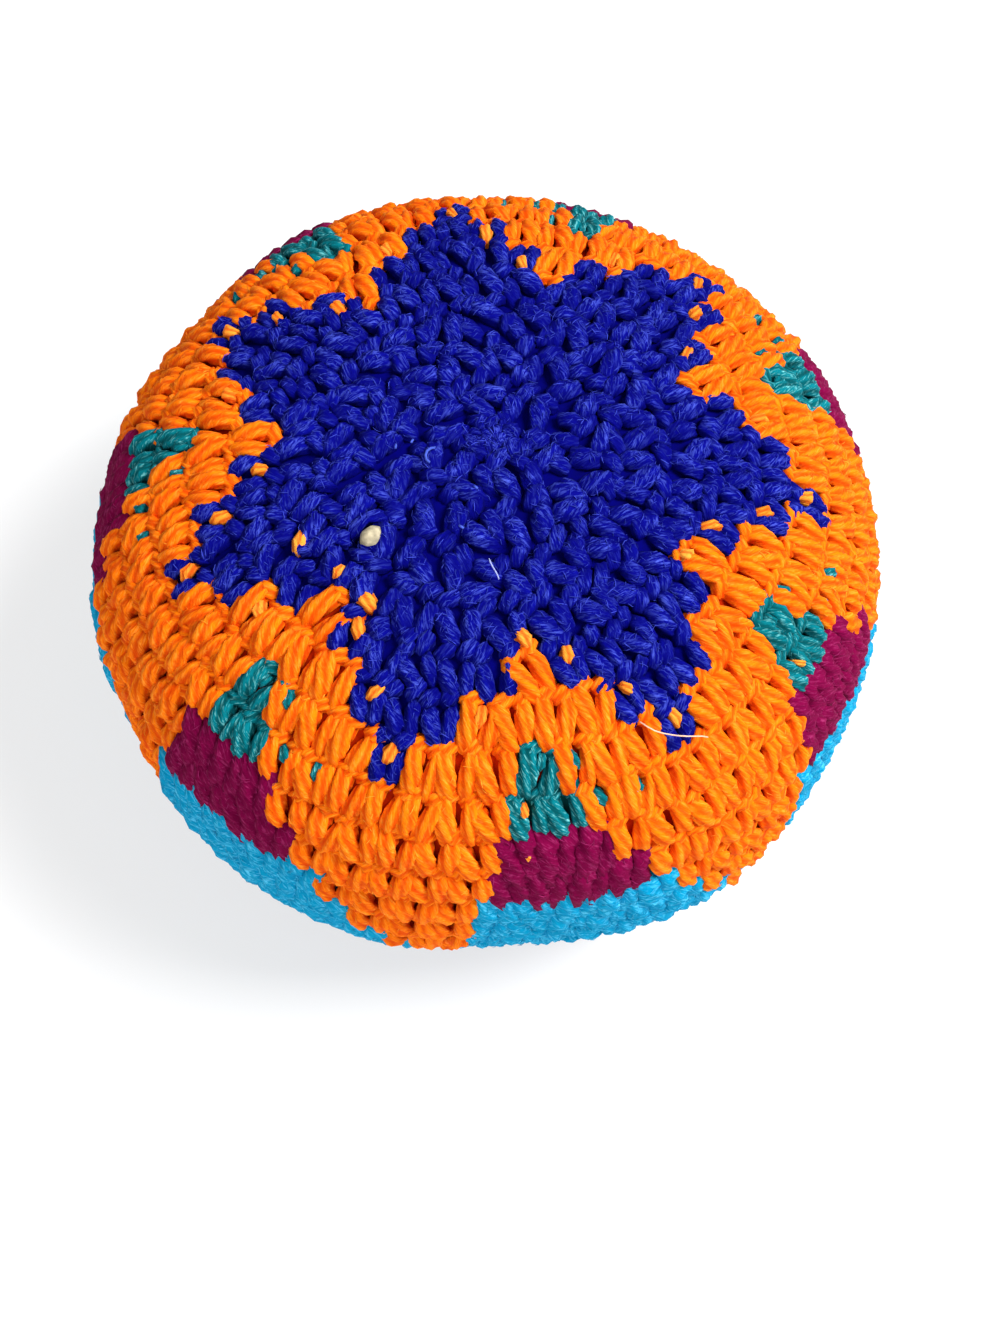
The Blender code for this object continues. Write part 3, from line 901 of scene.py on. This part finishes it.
def lining_mesh(node, top):
    """A closed sheet behind a patch, cut along the chart's lines."""
    columns = SEVENTHS * LINING_COLUMNS
    cells = set()
    for row, (count, start, colours) in enumerate(ROWS):
        for column in range(columns):
            place = (column + 0.5) / LINING_COLUMNS
            share = (place - start) % 1.0
            for colour, run in colours:
                if share < run / count or colour == colours[-1][0]:
                    break
                share -= run / count
            notch = round(place - share + run / count / 2) % SEVENTHS
            if node_of(colour, notch) == node:
                cells |= {(row * LINING_STEPS + step, column) for step in range(LINING_STEPS)}
    if node == "star_field":
        cells -= gap_cells()
    form = bmesh.new()
    made = {}

    def vertex(line, column, depth):
        row, step = divmod(line, LINING_STEPS)
        at_pole = line == 0 or line == len(ROWS) * LINING_STEPS
        key = (line, 0 if at_pole else column % columns, depth)
        if key not in made:
            lower = edges[min(row + 1, len(ROWS))]
            arc = edges[row] + (lower - edges[row]) * step / LINING_STEPS
            around = column / LINING_COLUMNS
            made[key] = form.verts.new(surface_point(arc, around, depth - unevenness(arc, around)))
        return made[key]

    bottom = FABRIC_WALL
    for line, column in sorted(cells):
        corners = ((line, column), (line, column + 1), (line + 1, column + 1), (line + 1, column))
        faces = [[vertex(*corner, top) for corner in corners[::-1]],
                 [vertex(*corner, bottom) for corner in corners]]
        beside = (((line - 1, column), 0, 1), ((line, (column + 1) % columns), 1, 2),
                  ((line + 1, column), 2, 3), ((line, (column - 1) % columns), 3, 0))
        for neighbour, first, second in beside:
            if neighbour not in cells and 0 <= neighbour[0] < len(ROWS) * LINING_STEPS:
                a, b = corners[first], corners[second]
                faces.append([vertex(*a, top), vertex(*b, top), vertex(*b, bottom), vertex(*a, bottom)])
        for face in faces:
            clean = list(dict.fromkeys(face))
            if len(clean) > 2:
                form.faces.new(clean)
    return made_mesh(node + "_lining", form)


def patch(name, node, yarn, specks=(), others=None):
    """Works one patch of colour in crochet and lets it stand for its CAD node.

    The others are inputs of the crochet tree for this patch alone.
    """
    draw = random.Random(f"{CHART_SEED} {node}")
    points = patch_points(node, yarn["way"], yarn["unrest"], draw) + [make(draw) for make in specks]
    lining = bpy.data.objects.new(node + "_lining", lining_mesh(node, yarn["lining"]))
    piece = grown(name, point_cloud(name, points), {
        "Stitches": stitch_kinds, "Lining": lining, "Fibre": fibre, "Waver": WAVER,
        **yarn["inputs"], **(others or {})})
    bpy.data.objects.remove(lining)
    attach(piece, "root")
    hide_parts(node)


def yarn(slot, way, colour, shade, glint, inside, glint_share, felt, density, unrest=1.0,
         lining=LINING_DEPTH, painted_shade_depths=(0.40, 1.45), roughen=0.15 * MM, dashing=(0.58, 8.0), clumping=0.3):
    """One colour of yarn: how it is worked, and its finishes on stitches, in holes and on loose fibres."""
    # Painted highlight: the loose fibres take a colour two thirds of the way from the yarn's colour to its
    # glint
    fuzz = [(a + b * 2) / 3 for a, b in zip(colour, glint)]
    return {"slot": slot, "way": way, "unrest": unrest, "lining": lining, "inputs": {
        "Yarn": yarn_finish(slot, colour, shade, glint, glint_share, felt, painted_shade_depths, dashing, clumping),
        # Painted shade: the lining in the holes takes the inside colour, darker than the yarn
        "Inside": plain_finish(slot + "_inside", inside, 0.95),
        "Fuzz": plain_finish(slot + "_fuzz", fuzz, 0.9),
        "Fibre Density": density / SQUARE_CENTIMETRE, "Roughen": roughen}}


# Fill

def pellet_places():
    """Centres of the pellets: close packed layers, kept to the room inside the lining."""
    draw = random.Random(CHART_SEED)
    room = FABRIC_WALL + LINING_CLEARANCE + PELLET_RADIUS
    samples = np.linspace(0.0, section.full_arc, SECTION_SAMPLES)
    line = np.array([section.point(arc) for arc in samples])
    places = []
    layer_step = PELLET_SPACING * sqrt(2 / 3)
    row_step = PELLET_SPACING * sqrt(3) / 2
    layers = int(2 * WAIST_RADIUS / layer_step)
    reach = int(WAIST_RADIUS / row_step) + 1
    for layer in range(layers):
        for row in range(-reach, reach + 1):
            for column in range(-reach, reach + 1):
                spot = Vector(((column + 0.5 * (row % 2) + 0.5 * (layer % 2)) * PELLET_SPACING,
                               (row + (layer % 2) / 3) * row_step, layer * layer_step + room))
                spot += Vector([draw.uniform(-1, 1) * PELLET_SHAKE * PELLET_SPACING for _ in range(3)])
                radius = hypot(spot.x, spot.y)
                outside = np.interp(spot.z, line[::-1, 1], line[::-1, 0]) - radius
                apart = np.hypot(line[:, 0] - radius, line[:, 1] - spot.z).min()
                if outside > 0 and spot.z < line[0, 1] and apart > room:
                    places.append(spot)
    return places


def pellets(finish):
    """The loose fill, with the one pellet that shows between two stitches of the star."""
    draw = random.Random(CHART_SEED)
    place, arc = PELLET_GAP
    half_height = PELLET_RADIUS * PELLET_FLATNESS * PELLET_SHOWING_SIZE[2]
    showing = surface_point(arc, place, half_height - PELLET_SHOWING_RISE)
    kept = [spot for spot in pellet_places() if (spot - showing).length > 2 * PELLET_RADIUS]
    points = [{"place": spot, "out": Vector([draw.gauss(0, 1) for _ in range(3)]),
               "away": Vector([draw.gauss(0, 1) for _ in range(3)]),
               "size": Vector((1, 1, 1)), "kind": 0, "tone": draw.random()} for spot in kept]
    _, away, out = surface_axes(arc, place)
    points.append({"place": showing, "out": out, "away": away, "size": Vector(PELLET_SHOWING_SIZE),
                   "kind": 1, "tone": 0.5})
    kinds = bpy.data.collections.new("pellet_kinds")
    pellet_template("pellet_0", 1, 0.0, kinds)
    pellet_template("pellet_1", 3, 0.05, kinds)
    piece = grown("pellets", point_cloud("pellet_places", points), {"Stitches": kinds, "Yarn": finish})
    for template in list(kinds.objects):
        bpy.data.objects.remove(template)
    bpy.data.collections.remove(kinds)
    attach(piece, "root")
    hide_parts("pellet_fill")


# Camera, floor and light

def place_camera():
    """The photograph's camera: high over the front, at the distance where the star's points line up."""
    data = bpy.data.cameras.new("photo_camera")
    data.sensor_fit = "AUTO"
    data.sensor_width = SENSOR
    data.lens = FOCAL_PIXELS / max(IMAGE_WIDTH, IMAGE_HEIGHT) * SENSOR
    data.clip_start = CAMERA_CLIP
    sin_e, cos_e = sin(CAMERA_RISE), cos(CAMERA_RISE)
    sin_r, cos_r = sin(CAMERA_ROLL), cos(CAMERA_ROLL)
    right = Vector((cos_r, -sin_r * sin_e, -sin_r * cos_e))
    up = Vector((sin_r, cos_r * sin_e, cos_r * cos_e))
    ahead = Vector((0.0, cos_e, -sin_e))
    distance = CAMERA_AWAY * WAIST_RADIUS
    eye = Vector((0.0, 0.0, section.waist)) - ahead * distance
    eye += -right * CAMERA_ASIDE * distance + up * CAMERA_UP * distance
    camera = put("photo_camera", data)
    camera.matrix_world = Matrix.Translation(eye) @ Matrix((right, up, -ahead)).transposed().to_4x4()
    bpy.context.scene.camera = camera


def area_light(name, place, size, power):
    data = bpy.data.lights.new(name, "AREA")
    data.size = size
    data.energy = power
    light = put(name, data)
    light.location = place
    light.rotation_euler = (-Vector(place)).to_track_quat("-Z", "Y").to_euler()


def pale_floor():
    """A floor that keeps the bag's shadow and fades to plain white away from it."""
    form = bmesh.new()
    bmesh.ops.create_circle(form, cap_ends=True, segments=FLOOR_SEGMENTS, radius=FLOOR_RADIUS)
    floor = put("floor", made_mesh("floor", form, closed=False))
    material, graph = new_material("floor_white")
    matte = graph.node("ShaderNodeBsdfDiffuse", {}, {"Color": (0.9, 0.9, 0.9, 1.0)})
    white = graph.node("ShaderNodeEmission", {}, {"Color": WHITE, "Strength": 1.0})
    place = graph.node("ShaderNodeTexCoord", {}, {}, "Object")
    apart = graph.vector("LENGTH", place, output="Value")
    fade = ((apart - FADE_START) * (1.0 / FADE_LENGTH)).clamped()
    share = fade * (1.0 - FLOOR_WHITE) + FLOOR_WHITE
    shown = graph.node("ShaderNodeMixShader", {}, {0: graph.backdrop_rays() * share, 1: matte, 2: white})
    graph.node("ShaderNodeOutputMaterial", {}, {"Surface": shown})
    floor.data.materials.append(material)


def light_scene():
    """Two soft lamps and an even light, with a plain white backdrop."""
    world = bpy.data.worlds.new("soft_white")
    bpy.context.scene.world = world
    world.use_nodes = True
    world.node_tree.nodes.clear()
    graph = Graph(world.node_tree)
    soft, white = (graph.node("ShaderNodeBackground", {}, {"Color": WHITE, "Strength": strength})
                   for strength in (SOFT_LIGHT, 1.0))
    shown = graph.node("ShaderNodeMixShader", {}, {0: graph.backdrop_rays(), 1: soft, 2: white})
    graph.node("ShaderNodeOutputWorld", {}, {"Surface": shown})
    area_light("key", *KEY_LAMP)
    area_light("fill", *FILL_LAMP)
    bpy.context.scene.view_settings.view_transform = "Standard"


place_camera()
light_scene()
pale_floor()

stitch_kinds = bpy.data.collections.new("stitch_kinds")
for way, (parts, slack) in enumerate(WAYS):
    for number in range(STITCH_KINDS):
        stitch_template(f"stitch_{way}_{number}", parts, number, slack, stitch_kinds)
stitch_template("stitch_speck", (SPECK,), 1, SPECK_SLACK, stitch_kinds)
fibre = fibre_template()
crochet = crochet_tree()
stitches_of_chart = chart_stitches()

# Each yarn's shade and inside colours are painted shade; its glint colour is a painted highlight
BLUE = yarn("blue_yarn", LOOSE, colour=(3, 6, 126), shade=(0, 0, 100), glint=(80, 98, 214),
            inside=(0, 0, 104), glint_share=0.9, felt=0.35, density=430, unrest=0.9, roughen=0.32 * MM,
            painted_shade_depths=(-0.15, 1.00), dashing=(0.49, 7.5), clumping=0.80)
ORANGE = yarn("orange_yarn", TIGHT, colour=(247, 121, 6), shade=(206, 56, 0), glint=(255, 174, 66),
              inside=(180, 38, 0), glint_share=0.5, felt=0.0, density=30, roughen=0.20 * MM,
              painted_shade_depths=(0.45, 1.70), dashing=(0.49, 5.0), clumping=0.4)
TEAL = yarn("teal_yarn", TIGHT, colour=(2, 114, 126), shade=(0, 58, 62), glint=(124, 212, 214),
            inside=(0, 66, 68), glint_share=0.85, felt=0.0, density=16, roughen=0.20 * MM,
            dashing=(0.54, 7.0))
MAROON = yarn("maroon_yarn", FELTED, colour=(112, 0, 56), shade=(92, 0, 46), glint=(172, 54, 112),
              inside=(100, 0, 50), glint_share=0.6, felt=0.9, density=160, lining=FELTED_DEPTH,
              dashing=(0.52, 5.0))
TURQUOISE = yarn("turquoise_yarn", FELTED, colour=(0, 146, 190), shade=(0, 120, 168), glint=(104, 214, 252),
                 inside=(0, 128, 176), glint_share=0.7, felt=0.9, density=160, lining=FELTED_DEPTH,
                 dashing=(0.50, 5.0))


def speck(place, arc, rise=0.0, speck_highlight=0.0, share=1.0):
    """A bit of carried yarn that shows between the stitches of another colour."""
    def point(draw):
        size = (draw.uniform(*SPECK_WIDTHS) * share, draw.uniform(*SPECK_HEIGHTS) * share, 1.0)
        lean = draw.uniform(-SPECK_LEAN, SPECK_LEAN)
        made = stitch_point(draw, arc, place, size, SPECK_KIND, -rise, lean)
        # Painted highlight: a tone over 1 mixes the speck towards its yarn's glint
        return {**made, "tone": 1.0 + speck_highlight * draw.uniform(*SPECK_TONES)}
    return point


# The orange specks carry a painted highlight towards the orange glint
orange_specks = [speck(place, arc * MM, SPECK_RISE, 1.0, share) for place, arc, share in BRIGHT_SPECKS]
orange_specks += [speck(*nearest_hole(place + seventh, arc * MM), SPECK_RISE, 0.7)
                  for seventh in range(SEVENTHS) for place, arc in BLUE_SPECKS]
# Light blue as a painted highlight on the blue fibres of the loop and dashes
BLUE_GLINT_FINISH = plain_finish("blue_glint_thread", (76, 98, 208), 0.9)
threads = thread_mesh("stray_threads", (
    (PALE_THREAD, plain_finish("pale_thread", (250, 206, 176), 0.9)),
    (WHITE_THREAD, plain_finish("white_thread", (186, 196, 250), 0.9)),
    *[(thread, BLUE_GLINT_FINISH) for thread in (BLUE_GLINT_LOOP, *BLUE_GLINT_DASHES)]))
patch("star_stitches", "star_field", BLUE, others={"Threads": threads, "Parting": PARTING})
bpy.data.objects.remove(threads)
patch("orange_stitches", "orange_field", ORANGE, orange_specks)
for number in range(1, SEVENTHS + 1):
    specks = [speck(*nearest_hole(place + number - 1, arc * MM)) for place, arc in TEAL_SPECKS]
    patch(f"teal_stitches_{number}", f"teal_patch_{number}", TEAL, specks)
    patch(f"maroon_stitches_{number}", f"maroon_band_{number}", MAROON)
    patch(f"turquoise_stitches_{number}", f"turquoise_band_{number}", TURQUOISE)
patch("turquoise_round", "turquoise_ring", TURQUOISE)
thinned = {"Fibre Density": BLUE["inputs"]["Fibre Density"] / BASE_THINNING}
patch("base_stitches", "base_field", BLUE, others=thinned)
patch("closing_knot_yarn", "closing_knot", BLUE)
patch("starting_ring_yarn", "starting_ring", BLUE)
pellets(plain_finish("pellet", (196, 184, 154), 0.7, 0.6, 2200.0))

for template in list(stitch_kinds.objects) + [fibre]:
    bpy.data.objects.remove(template)
bpy.data.collections.remove(stitch_kinds)

bpy.context.view_layer.update()
